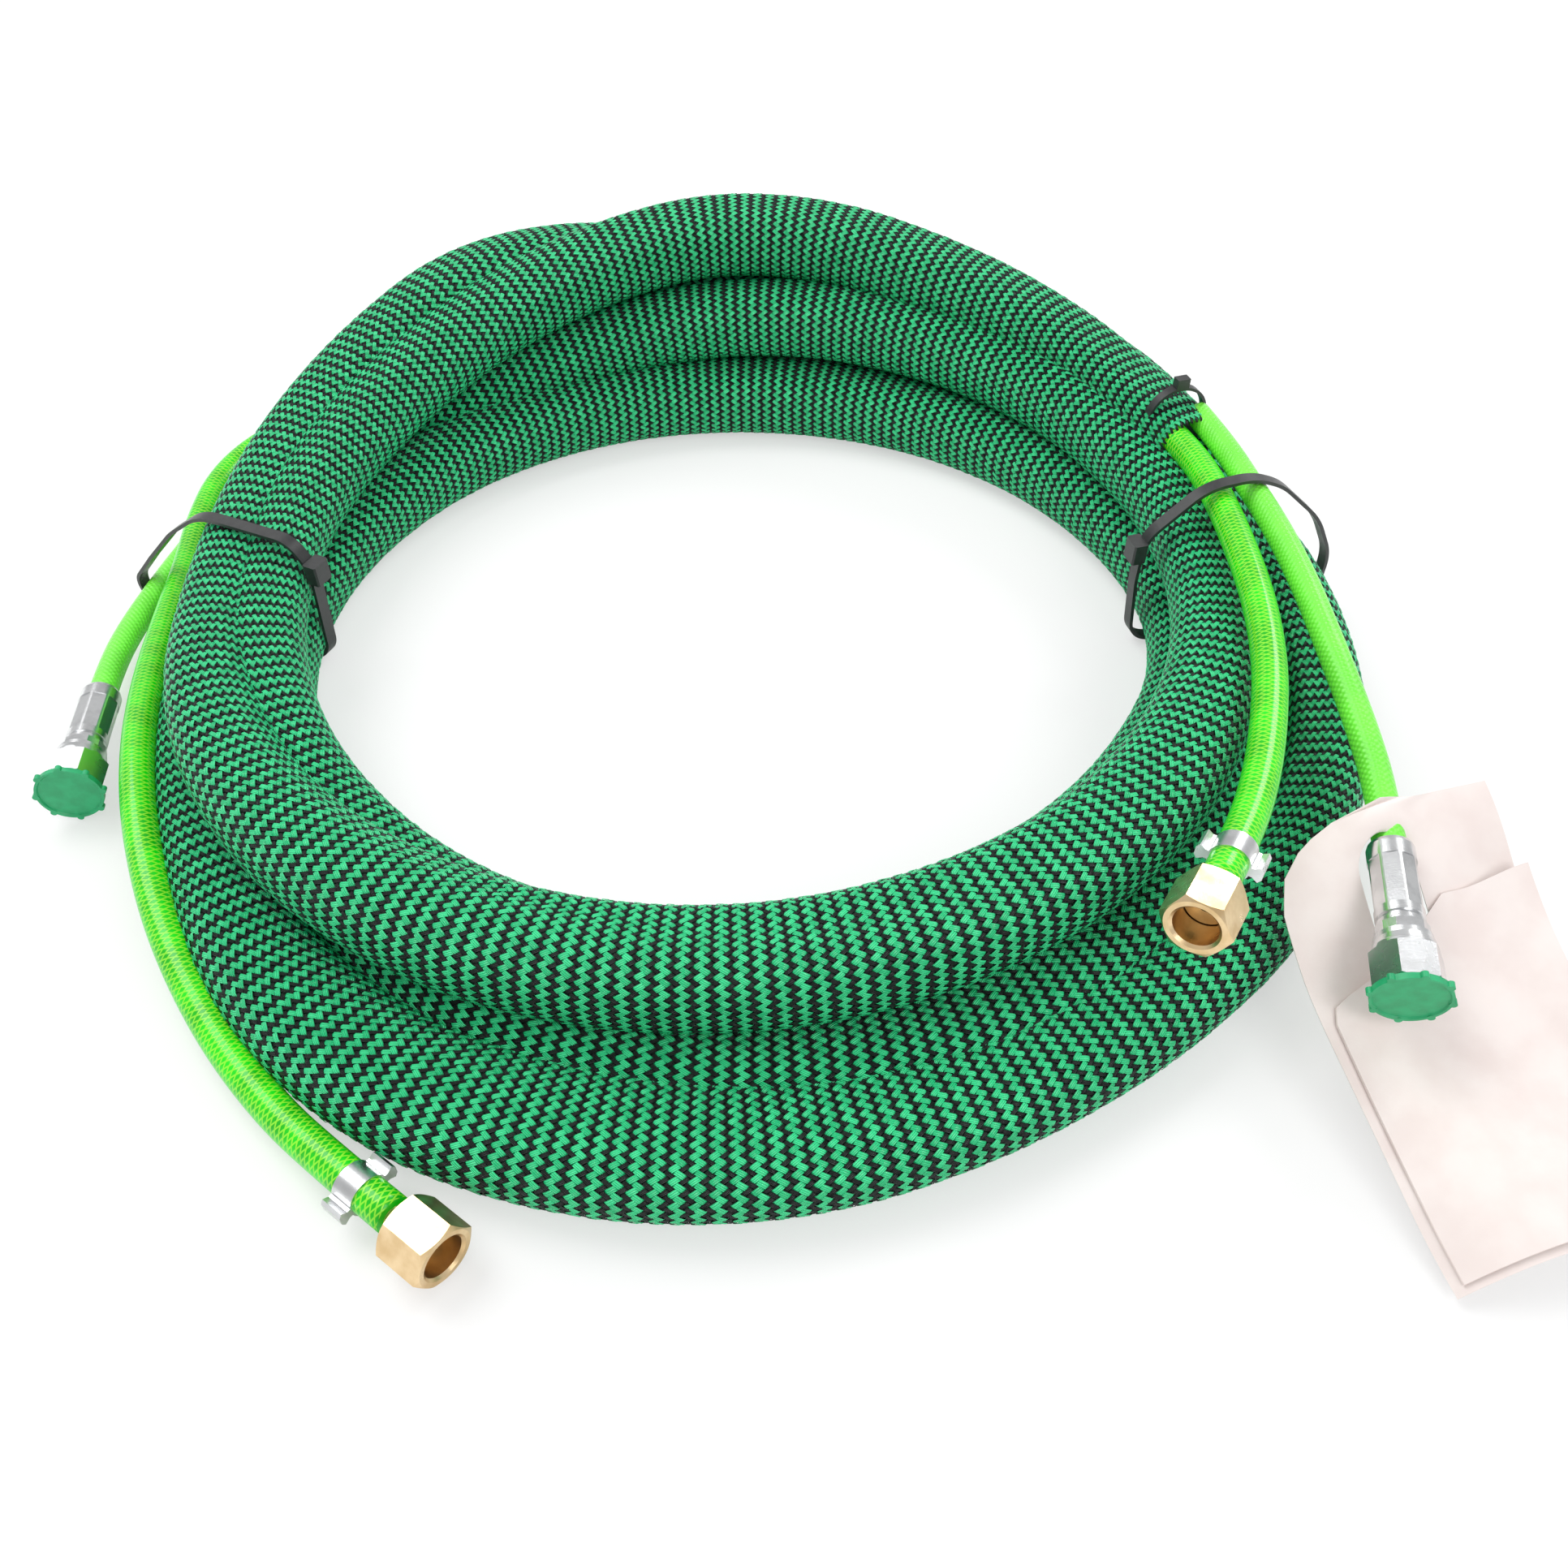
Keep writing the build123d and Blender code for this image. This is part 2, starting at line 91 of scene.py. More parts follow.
FILAMENTS = 3  # in each yarn
RIB_SPACING = 0.0021  # along the fluid hose
RIBS_ROUND = 12

# Routes of the four bare hose ends, in millimetres from the coil's centre, as in the part's source.
ROUTES = {
    "air_hose_tail_a": (
        (-186, 147, 17), (-207, 123, 17), (-219, 94, 17), (-219.5, 63, 16), (-216.5, 34, 14.5),
        (-214, 2, 15.5), (-208, -38, 19), (-199, -75, 22), (-187, -110, 21), (-171, -144, 15),
        (-149, -176, 10), (-125, -202, 8.5), (-103, -220, 9.6), (-84, -234.5, 10.5),
    ),
    "air_hose_tail_b": (
        (163.5, 76, 56), (172, 50, 57.5), (175.5, 22, 58.5), (176.8, -8, 58.8), (176.5, -40, 58.8),
        (172.5, -72, 58.8), (165, -101, 58.5), (156.3, -125.5, 59), (145.8, -147, 60.6), (134.3, -166, 63.4),
    ),
    "fluid_hose_tail_a": (
        (-188, 145, 6.3), (-209, 121, 6.3), (-220.5, 94, 6.3), (-224, 64, 6.3), (-228.3, 36, 7.2),
        (-231, 5, 8.7), (-229.9, -19, 10.6), (-227.2, -38.5, 11.4),
    ),
    "fluid_hose_tail_b": (
        (178.5, 72, 60.5), (184, 50, 60.5), (188, 24, 60), (192, -2, 59.3), (194.5, -30, 58),
        (195.5, -62, 56), (197.5, -92, 51.5), (198.2, -117, 46.6), (194.3, -140.6, 45),
    ),
}

# Paper tag, in millimetres: its hole from the coil's centre, its heading in degrees from +X, and its left
# edges as (distance down the tag from the hole, distance right of the hole).
TAG_HOLE = (194.0, -146.0, 0.0)
TAG_HEADING = -75.0
COVER_LEFT_EDGE = ((-20, 4), (-19, -6), (-16, -17), (-12, -25), (-6, -32), (2, -35), (20, -35), (103, -31))
LEAF_LEFT_EDGE = ((6, 14), (13, 3), (20, -8), (24, -20), (27, -29), (32, -31), (101, -29))
TAG_BEND_AT = (-0.020, 0.015, 0.103)
TAG_BEND_HEIGHT = (0.0550, 0.0284, 0.0004)
TAG_BEND_REACH = 0.018  # how far each way the bend is softened
TAG_ROWS = 44
TAG_COLUMNS = 26
ROWS_ASIDE = 10.0  # rows already shaped wait this far off, so that none is picked twice
TAG_CURL_FROM = 0.045  # distance down the tag where its foot starts to arch
TAG_CURL_TO = 0.103
TAG_CURL_MIDDLE = 0.004  # right of the hole
TAG_CURL_HALF = 0.036
HUMP_HEIGHT = 0.0035  # rise of the paper over the hose above the hole
HOLE_R = 0.0090
HOLE_START = -0.002  # middle of the hole's upper round, down the tag
HOLE_LENGTH = 0.012  # between the middles of its two rounds
LEAF_LIFT = 0.00045
LEAF_SPACING = 0.0011  # between the cover and the top leaf


# ---------------------------------------------------------------------------------------------- settings

class SleeveSettings(bpy.types.PropertyGroup):
    """Sizes and colours of the braided sleeve."""
    yarns: IntProperty(name="Yarns", description="Yarns that run each way round the sleeve", default=68, min=8)
    yarn_length: FloatProperty(
        name="Yarn turn", description="Length of yarn in one turn round the sleeve", default=0.200, unit="LENGTH")
    cover: FloatVectorProperty(
        name="Cover", description="Share of its lane that a green yarn and a black yarn fill",
        default=(1.20, 0.90), size=2)
    rise: FloatVectorProperty(
        name="Rise", description="How far a green yarn and a black yarn stand up where they pass over",
        default=(0.00042, 0.00022), size=2, unit="LENGTH")
    crease: FloatProperty(
        name="Crease", description="Depth of the dent between the two hoses", default=0.11, subtype="FACTOR")
    green: FloatVectorProperty(
        name="Green yarn", description="Colour of the green yarn", default=(0.012, 0.70, 0.255), subtype="COLOR")
    black: FloatVectorProperty(
        name="Black yarn", description="Colour of the black yarn", default=(0.006, 0.010, 0.009), subtype="COLOR")


class HoseSettings(bpy.types.PropertyGroup):
    """Sizes and colours of the two hoses."""
    air_diameter: FloatProperty(
        name="Air hose", description="Outside diameter of the clear air hose", default=0.0111, unit="LENGTH")
    fluid_diameter: FloatProperty(
        name="Fluid hose", description="Outside diameter of the fluid hose", default=0.0096, unit="LENGTH")
    clear_green: FloatVectorProperty(
        name="Clear green", description="Colour of the clear hose", default=(0.004, 0.66, 0.004), subtype="COLOR")
    net: FloatVectorProperty(
        name="Net", description="Colour of the net in the clear hose", default=(0.40, 0.93, 0.045), subtype="COLOR")
    net_spacing: FloatProperty(
        name="Net spacing", description="Distance between the net's lines along the hose", default=0.0019,
        unit="LENGTH")
    net_starts: IntProperty(name="Net lines", description="Lines of the net that run each way round", default=8, min=1)
    lime: FloatVectorProperty(
        name="Lime", description="Colour of the fluid hose", default=(0.20, 0.90, 0.065), subtype="COLOR")


class TagSettings(bpy.types.PropertyGroup):
    """Sizes of the paper tag."""
    leaves: IntProperty(name="Leaves", description="Leaves in the booklet", default=3, min=1)
    paper: FloatProperty(name="Paper", description="Thickness of one sheet", default=0.0003, unit="LENGTH")
    right: FloatProperty(
        name="Right edge", description="Distance from the hole's middle to the right edge", default=0.040,
        unit="LENGTH")
    curl: FloatProperty(
        name="Curl", description="Height that the tag's foot arches off the floor", default=0.013, unit="LENGTH")
    fan: FloatProperty(
        name="Fan", description="How far the top leaf's free edge stands up", default=0.006, unit="LENGTH")


class StageSettings(bpy.types.PropertyGroup):
    """Camera and light."""
    camera_height: FloatProperty(name="Height", description="Camera height", default=0.350, unit="LENGTH")
    camera_back: FloatProperty(
        name="Back", description="Camera distance in front of the coil's centre", default=0.401, unit="LENGTH")
    camera_side: FloatProperty(
        name="Side", description="Camera distance right of the coil's centre", default=0.0181, unit="LENGTH")
    camera_pitch: FloatProperty(
        name="Pitch", description="Angle of view below level", default=radians(46.5), subtype="ANGLE")
    camera_lens: FloatProperty(name="Lens", description="Focal length in millimetres", default=31.68)
    floor: FloatVectorProperty(
        name="Floor", description="Colour of the floor", default=(0.93, 0.93, 0.93), subtype="COLOR")


# ---------------------------------------------------------------------------------------------- shader maths

class Value:
    """A shader socket that ordinary sums work on."""

    def __init__(self, shader, socket):
        self.shader = shader
        self.socket = socket

    def _math(self, operation, *others):
        values = dict(enumerate((self, *others)))
        return self.shader.node("ShaderNodeMath", {"operation": operation}, values)

    def __add__(self, other):
        return self._math("ADD", other)

    def __sub__(self, other):
        return self._math("SUBTRACT", other)

    def __mul__(self, other):
        return self._math("MULTIPLY", other)

    __radd__ = __add__
    __rmul__ = __mul__

    def __rsub__(self, other):
        return (self * -1.0) + other

    def wave(self):
        """Sine of the value."""
        return self._math("SINE")

    def size(self):
        """The value without its sign."""
        return self._math("ABSOLUTE")

    def larger(self, other):
        """The larger of two values."""
        return self._math("MAXIMUM", other)

    def step(self, low, high):
        """Rises smoothly from 0 at low to 1 at high."""
        return self.shader.node(
            "ShaderNodeMapRange", {"interpolation_type": "SMOOTHSTEP"},
            {"Value": self, "From Min": low, "From Max": high})


def scaled(colour, share):
    """A colour made darker or lighter, each part 1 at most."""
    return tuple(min(1.0, part * share) for part in colour)


class Shader:
    """One material and its nodes."""

    def __init__(self, name):
        self.material = bpy.data.materials.new(name)
        self.material.use_nodes = True
        self.tree = self.material.node_tree
        self.tree.nodes.clear()
        self.output = self.tree.nodes.new("ShaderNodeOutputMaterial")

    def node(self, kind, settings=None, inputs=None, output=0):
        """Add a node: its settings first, then its sockets' values or links."""
        node = self.tree.nodes.new(kind)
        for key, value in (settings or {}).items():
            setattr(node, key, value)
        for key, value in (inputs or {}).items():
            if isinstance(value, Value):
                self.tree.links.new(value.socket, node.inputs[key])
            else:
                node.inputs[key].default_value = value
        return Value(self, node.outputs[output])

    def parts(self, vector):
        """The three parts of a vector."""
        split = self.tree.nodes.new("ShaderNodeSeparateXYZ")
        self.tree.links.new(vector.socket, split.inputs[0])
        return [Value(self, socket) for socket in split.outputs]

    def uv(self):
        """The piece's own UV map."""
        return self.node("ShaderNodeUVMap", {"uv_map": "UVMap"})

    def place(self):
        """Object coordinates."""
        return self.node("ShaderNodeTexCoord", output=3)

    def attribute(self, name):
        """A number stored on the piece's points."""
        return self.node("ShaderNodeAttribute", {"attribute_name": name}, output=2)

    def noise(self, vector, scale, detail=2.0):
        """Soft noise between 0 and 1."""
        return self.node("ShaderNodeTexNoise", inputs={"Vector": vector, "Scale": scale, "Detail": detail})

    def mix(self, share, first, second):
        """Blend two colours."""
        colours = {0: share, 6: self._colour(first), 7: self._colour(second)}
        return self.node("ShaderNodeMix", {"data_type": "RGBA"}, colours, output=2)

    def _colour(self, colour):
        return colour if isinstance(colour, Value) else (*colour[:3], 1.0)

    def bump(self, height, distance, strength=1.0):
        """Relief from a height."""
        return self.node("ShaderNodeBump", inputs={"Height": height, "Distance": distance, "Strength": strength})

    def finish(self, **sockets):
        """Principled surface with these sockets, and the material."""
        names = {key.replace("_", " ").title().replace("Ior", "IOR"): value for key, value in sockets.items()}
        surface = self.node("ShaderNodeBsdfPrincipled", inputs=names)
        self.tree.links.new(surface.socket, self.output.inputs[0])
        return self.material


def green_or_black_yarn(name, colour, bright, gloss):
    """Shiny yarn of parallel plastic filaments, with painted shade between the filaments, along the yarn's edges and at
    its tucked ends: its UV runs across the yarn and along it.
    """
    shader = Shader(name)
    across, along, _ = shader.parts(shader.uv())
    shade = shader.attribute("shade")
    filament = (across * (2 * pi * FILAMENTS)).wave()
    # Painted shade: the colour that the yarn darkens to in its grooves, along its edges and at its tucked ends.
    painted_shade = scaled(colour, 0.36)
    body = shader.mix(shade, scaled(colour, 0.86), bright)
    # Painted shade in the grooves between the filaments; their round tops keep the yarn's colour.
    body = shader.mix(filament.step(-0.9, 0.1) * 0.6 + 0.4, painted_shade, body)
    # Painted shade along each yarn's two edges, where it rounds down beside its neighbours.
    edge = (across - 0.5).size().step(0.40, 0.5)
    body = shader.mix(edge * 0.8, body, painted_shade)
    # Painted shade at each stretch's two ends, where it tucks under the crossing yarns.
    ends = (along - 0.5).size().step(0.30, 0.48)
    body = shader.mix(ends * 0.7, body, painted_shade)
    return shader.finish(
        base_color=body, roughness=shade * 0.10 + 0.28, normal=shader.bump(filament, 0.00010, 0.9),
        specular_ior_level=gloss)


def clear_hose_material(hoses):
    """Clear green hose with a crossed net under its skin, a faint painted glow and a painted fade to plain green
    towards its outline: its UV is round the hose and along it in metres.
    """
    shader = Shader("clear_hose")
    around, along, _ = shader.parts(shader.uv())
    lines = None
    for lean in (1.0, -1.0):
        turn = along * (2 * pi / hoses.net_spacing) + around * (lean * 2 * pi * hoses.net_starts)
        line = turn.wave().step(0.35, 0.9)
        lines = line if lines is None else lines.larger(line)
    depth = shader.noise(shader.place(), 90.0)
    ground = shader.mix(depth.step(0.3, 0.7), scaled(hoses.clear_green, 0.62), scaled(hoses.clear_green, 1.1))
    colour = shader.mix(lines * 0.62, ground, hoses.net)
    # Painted light: towards the hose's outline, where the view passes through more of the tinted wall, the net fades
    # into plain green.
    edge = shader.node("ShaderNodeLayerWeight", inputs={"Blend": 0.42}, output=1)
    colour = shader.mix(edge.step(0.35, 0.85) * 0.75, colour, hoses.clear_green)
    # Painted glow: a faint emission in the hose's own colour stands in for light passing through the clear plastic.
    return shader.finish(
        base_color=colour, roughness=depth * 0.1 + 0.24, coat_weight=0.35, coat_roughness=0.12,
        specular_ior_level=0.3, emission_color=colour, emission_strength=0.10,
        normal=shader.bump(lines, 0.00010, 0.7))


def lime_hose_material(hoses):
    """Opaque glossy hose with faint ribbing across it from the braid beneath."""
    shader = Shader("lime_hose")
    around, along, _ = shader.parts(shader.uv())
    ribs = (along * (2 * pi / RIB_SPACING)).wave() * (around * (2 * pi * RIBS_ROUND)).wave()
    patch = shader.noise(shader.place(), 60.0)
    colour = shader.mix(patch.step(0.3, 0.7), scaled(hoses.lime, 0.9), scaled(hoses.lime, 1.08))
    return shader.finish(
        base_color=colour, roughness=patch * 0.1 + 0.26, coat_weight=0.25, coat_roughness=0.15,
        specular_ior_level=0.4, normal=shader.bump(ribs, 0.00016, 0.9))


def liner_shade_material():
    """Painted shade inside the sleeve, seen between its yarns: a dark sheet in place of the shaded hoses within."""
    shader = Shader("sleeve_inside_shade")
    patch = shader.noise(shader.place(), 400.0)
    return shader.finish(base_color=shader.mix(patch, (0.004, 0.02, 0.012), (0.008, 0.05, 0.028)), roughness=0.7)


def bright_steel(name, roughness=0.2):
    """Bright zinc plate with fine turning marks and a few dull patches."""
    shader = Shader(name)
    tint = (0.78, 0.79, 0.80)
    place = shader.place()
    patch = shader.noise(place, 130.0, 3.0)
    fine = shader.noise(place, 2600.0, 1.0)
    colour = shader.mix(patch.step(0.35, 0.7), tint, scaled(tint, 0.78))
    return shader.finish(
        base_color=colour, metallic=1.0, roughness=patch * 0.16 + roughness - 0.05,
        normal=shader.bump(fine, 0.00004, 0.5))


def brass():
    """Machined brass with turning marks and slightly darker patches."""
    shader = Shader("brass")
    place = shader.place()
    patch = shader.noise(place, 160.0, 3.0)
    fine = shader.noise(place, 2200.0, 1.0)
    colour = shader.mix(patch.step(0.3, 0.75), (0.86, 0.66, 0.40), (0.70, 0.49, 0.25))
    return shader.finish(
        base_color=colour, metallic=1.0, roughness=patch * 0.2 + 0.2, normal=shader.bump(fine, 0.00004, 0.5))


def plug_plastic():
    """Moulded green plastic with lighter and darker patches."""
    shader = Shader("green_plug")
    place = shader.place()
    patch = shader.noise(place, 220.0, 3.0)
    colour = shader.mix(patch.step(0.3, 0.7), (0.012, 0.33, 0.13), (0.02, 0.42, 0.17))
    return shader.finish(
        base_color=colour, roughness=patch * 0.2 + 0.3, normal=shader.bump(patch, 0.0003, 0.3))


def black_nylon():
    """Moulded black nylon."""
    shader = Shader("black_nylon")
    place = shader.place()
    patch = shader.noise(place, 500.0, 3.0)
    colour = shader.mix(patch, (0.020, 0.021, 0.022), (0.038, 0.040, 0.041))
    return shader.finish(
        base_color=colour, roughness=patch * 0.2 + 0.28, normal=shader.bump(patch, 0.0001, 0.5))


def tag_paper():
    """Coated paper with faint mottling."""
    shader = Shader("tag_paper")
    place = shader.place()
    patch = shader.noise(place, 60.0, 4.0)
    fine = shader.noise(place, 1500.0, 2.0)
    colour = shader.mix(patch.step(0.3, 0.7), (0.80, 0.70, 0.67), (0.86, 0.78, 0.75))
    return shader.finish(base_color=colour, roughness=fine * 0.1 + 0.42, normal=shader.bump(fine, 0.00005, 0.4))


# ---------------------------------------------------------------------------------------------- cords

def smooth_line(points, resolution):
    """Points along the NURBS spline that has these control points."""
    data = bpy.data.curves.new("line", "CURVE")
    data.dimensions = "3D"
    data.resolution_u = resolution
    spline = data.splines.new("NURBS")
    spline.points.add(len(points) - 1)
    for knot, point in zip(spline.points, points):
        knot.co = (*point, 1.0)
    spline.order_u = 3
    spline.use_endpoint_u = True
    line = bpy.data.objects.new("line", data)
    bpy.context.scene.collection.objects.link(line)
    bpy.context.view_layer.update()
    mesh = bpy.data.meshes.new_from_object(line)
    found = np.array([vertex.co[:] for vertex in mesh.vertices])
    bpy.data.objects.remove(line)
    bpy.data.curves.remove(data)
    bpy.data.meshes.remove(mesh)
    return found


def rise(low, high, value):
    """Rises smoothly from 0 at low to 1 at high, or falls if low is the larger."""
    share = min(1.0, max(0.0, (value - low) / (high - low)))
    return share * share * (3 - 2 * share)


def unit(vectors):
    """Vectors of length one."""
    return vectors / np.linalg.norm(vectors, axis=-1, keepdims=True)


def travelled(line):
    """Distance along a line at each of its points."""
    return np.concatenate(([0.0], np.cumsum(np.linalg.norm(np.diff(line, axis=0), axis=1))))


def add_piece(name, vertices, quads, material, uv=None, shade=None, closed_ends=()):
    """A smooth mesh piece from arrays of points and four-sided faces, riding on the lead."""
    mesh = bpy.data.meshes.new(name)
    mesh.vertices.add(len(vertices))
    mesh.vertices.foreach_set("co", np.ascontiguousarray(vertices, dtype=np.float32).ravel())
    ends = [np.asarray(end) for end in closed_ends]
    loops = np.concatenate([quads.ravel(), *ends]) if ends else quads.ravel()
    totals = np.concatenate([np.full(len(quads), 4), [len(end) for end in ends]]).astype(np.int32)
    starts = np.concatenate(([0], np.cumsum(totals)[:-1])).astype(np.int32)
    mesh.loops.add(len(loops))
    mesh.loops.foreach_set("vertex_index", loops.astype(np.int32))
    mesh.polygons.add(len(totals))
    mesh.polygons.foreach_set("loop_start", starts)
    mesh.update(calc_edges=True)
    mesh.polygons.foreach_set("use_smooth", np.ones(len(totals), dtype=bool))
    if uv is not None:
        padded = uv if len(uv) == len(loops) else np.concatenate([uv, np.zeros((len(loops) - len(uv), 2))])
        layer = mesh.uv_layers.new(name="UVMap")
        layer.data.foreach_set("uv", padded.astype(np.float32).ravel())
    if shade is not None:
        mesh.attributes.new("shade", "FLOAT", "POINT").data.foreach_set("value", shade.astype(np.float32))
    mesh.materials.append(material)
    mesh.validate()
    piece = bpy.data.objects.new(name, mesh)
    bpy.context.scene.collection.objects.link(piece)
    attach(piece, BODY)
    return piece


def tube_faces(rings, sides):
    """Four-sided faces between rings of points, outwards, and the two end faces."""
    ring = np.arange(rings - 1)[:, None] * sides
    side = np.arange(sides)[None, :]
    after = (side + 1) % sides
    quads = np.stack([ring + side, ring + after, ring + sides + after, ring + sides + side], axis=-1).reshape(-1, 4)
    return quads, [np.arange(sides)[::-1], (rings - 1) * sides + np.arange(sides)]


def hose_tube(name, line, diameter, material, sides=28):
    """A round hose along a line, with its UV round it and along it in metres."""
    along = unit(np.gradient(line, axis=0))
    across = [unit(np.cross(along[0], (0.0, 0.0, 1.0)))]
    for tangent in along[1:]:
        kept = across[-1] - tangent * np.dot(across[-1], tangent)
        across.append(unit(kept))
    across = np.array(across)
    up = np.cross(along, across)
    angle = np.linspace(0, 2 * pi, sides, endpoint=False)
    rings = line[:, None, :] + diameter / 2 * (
        across[:, None, :] * np.cos(angle)[None, :, None] + up[:, None, :] * np.sin(angle)[None, :, None])
    quads, ends = tube_faces(len(line), sides)
    distance = travelled(line)
    side = np.arange(sides) / sides
    corner_u = np.stack([side, side + 1 / sides, side + 1 / sides, side], axis=-1)
    corner_u = np.broadcast_to(corner_u, (len(line) - 1, sides, 4))
    corner_v = np.stack([distance[:-1], distance[:-1], distance[1:], distance[1:]], axis=-1)
    corner_v = np.broadcast_to(corner_v[:, None, :], (len(line) - 1, sides, 4))
    uv = np.stack([corner_u, corner_v], axis=-1).reshape(-1, 2)
    return add_piece(name, rings.reshape(-1, 3), quads, material, uv=uv, closed_ends=ends)


class SleeveShape:
    """The sleeve's line and its outline at each point of it, for laying the liner and the yarns on."""
    SIDES = 96

    def __init__(self, sleeve):
        stations = []
        for turn, rows in enumerate(TURNS):
            for index, row in enumerate(rows):
                stations.append((-(180 - STATION_STEP * index - 360 * turn), *row))
        self.stations = np.array(stations, dtype=float)
        start, end = -SLEEVE_FIRST, 360 * (len(TURNS) - 1) - SLEEVE_LAST
        count = int(round((end - start) / SLEEVE_POINT_STEP))
        turned = np.linspace(start, end, count + 1)
        self.points = self._place(turned)
        self.line = smooth_line(self.points, 10)
        flat = self.line[:, :2] - np.array(COIL_CENTRE[:2])
        self.turned = -np.degrees(np.unwrap(np.arctan2(flat[:, 1], flat[:, 0])))
        self.turned += start - self.turned[0]
        width, thick = self._between(self.turned)[:, 2:].T * MM
        along = unit(np.gradient(self.line, axis=0))
        self.outward = unit(np.cross((0.0, 0.0, 1.0), along))
        self.up = np.cross(along, self.outward)
        self.outline, self.facing, self.girth = self._outlines(width, thick, sleeve.crease)
        spacing = np.sqrt(sleeve.yarn_length ** 2 - self.girth ** 2) / sleeve.yarns
        distance = travelled(self.line)
        steps = np.diff(distance) / ((spacing[:-1] + spacing[1:]) / 2)
        self.phase = np.concatenate(([0.0], np.cumsum(steps)))
        self.spacing = spacing
        self.length = distance[-1]

    def _between(self, turned):
        """Radius, height, width and thickness between stations, on a smooth curve through them."""
        known, rows = self.stations[:, 0], self.stations[:, 1:]
        slope = np.gradient(rows, known, axis=0)
        left = np.clip(np.searchsorted(known, turned) - 1, 0, len(known) - 2)
        gap = (known[left + 1] - known[left])[:, None]
        t = ((turned - known[left]) / gap[:, 0])[:, None]
        first = rows[left] * (1 + 2 * t) * (1 - t) ** 2 + slope[left] * gap * t * (1 - t) ** 2
        second = rows[left + 1] * t ** 2 * (3 - 2 * t) + slope[left + 1] * gap * t ** 2 * (t - 1)
        return first + second

    def _place(self, turned):
        radius, height = self._between(turned)[:, :2].T * MM
        angle = np.radians(-turned)
        x, y = COIL_CENTRE.x + radius * np.cos(angle), COIL_CENTRE.y + radius * np.sin(angle)
        return np.stack([x, y, height], axis=-1)

    def _outlines(self, width, thick, crease):
        """Rounded outlines with a dent between the two hoses, as points spaced evenly round each."""
        angle = np.linspace(0, 2 * pi, 4 * self.SIDES, endpoint=False)[None, :]
        rounder = 2 / OUTLINE_SQUARENESS
        x = np.sign(np.cos(angle)) * np.abs(np.cos(angle)) ** rounder * width[:, None] / 2
        y = np.sign(np.sin(angle)) * np.abs(np.sin(angle)) ** rounder * thick[:, None] / 2
        wander = np.radians(self.turned)[:, None]
        # The dent's place round the outline wanders along the sleeve: one dent on top and one underneath.
        for place, reach, weight in (
            (pi / 2 + 0.55 * np.sin(0.9 * wander) + 0.3 * np.sin(2.3 * wander), 0.34, 1.0),
            (-pi / 2 + 0.5 * np.sin(1.1 * wander), 0.5, 0.7),
        ):
            away = np.angle(np.exp(1j * (angle - place)))
            depth = crease * weight * (0.55 + 0.45 * np.sin(1.7 * wander + 1.0))
            dent = 1 - depth * np.exp(-((away / reach) ** 2))
            x, y = x * dent, y * dent
        step = np.hypot(np.roll(x, -1, axis=1) - x, np.roll(y, -1, axis=1) - y)
        travel = np.concatenate([np.zeros((len(x), 1)), np.cumsum(step, axis=1)], axis=1)
        girth = travel[:, -1]
        even = np.empty((len(x), self.SIDES, 2))
        for row in range(len(x)):
            wanted = np.arange(self.SIDES) / self.SIDES * girth[row]
            even[row, :, 0] = np.interp(wanted, travel[row], np.append(x[row], x[row, 0]))
            even[row, :, 1] = np.interp(wanted, travel[row], np.append(y[row], y[row, 0]))
        tangent = np.roll(even, -1, axis=1) - np.roll(even, 1, axis=1)
        facing = unit(np.stack([tangent[..., 1], -tangent[..., 0]], axis=-1))
        return even, facing, girth

    def on_surface(self, phase, around, height):
        """Points at a phase along the sleeve, a share of the way round it and a height off it."""
        place = np.interp(phase, self.phase, np.arange(len(self.phase)))
        row = np.clip(place.astype(int), 0, len(self.phase) - 2)
        along = (place - row)[..., None]
        turn = (around % 1.0) * self.SIDES
        side = turn.astype(int) % self.SIDES
        after = (side + 1) % self.SIDES
        share = (turn - np.floor(turn))[..., None]

        def blend(table):
            near = table[row, side] * (1 - share) + table[row, after] * share
            far = table[row + 1, side] * (1 - share) + table[row + 1, after] * share
            return near * (1 - along) + far * along

        flat = blend(self.outline) + blend(self.facing) * height[..., None]
        centre = self.line[row] * (1 - along) + self.line[row + 1] * along
        outward = self.outward[row] * (1 - along) + self.outward[row + 1] * along
        up = self.up[row] * (1 - along) + self.up[row + 1] * along
        points = centre + outward * flat[..., :1] + up * flat[..., 1:]
        points[..., 2] = np.maximum(points[..., 2], FLOOR_GAP)
        return points


def lay_liner(shape, material):
    """A dark sheet just under the sleeve's yarns: painted shade in place of the shaded hoses inside it."""
    sides = 32
    phase = shape.phase[::2]
    around = np.arange(sides) / sides
    grid_phase, grid_around = np.meshgrid(phase, around, indexing="ij")
    points = shape.on_surface(grid_phase, grid_around, np.full(grid_phase.shape, -LINER_DEPTH))
    quads, ends = tube_faces(len(phase), sides)
    return add_piece("sleeve_inside_shade", points.reshape(-1, 3), quads, material, closed_ends=ends)


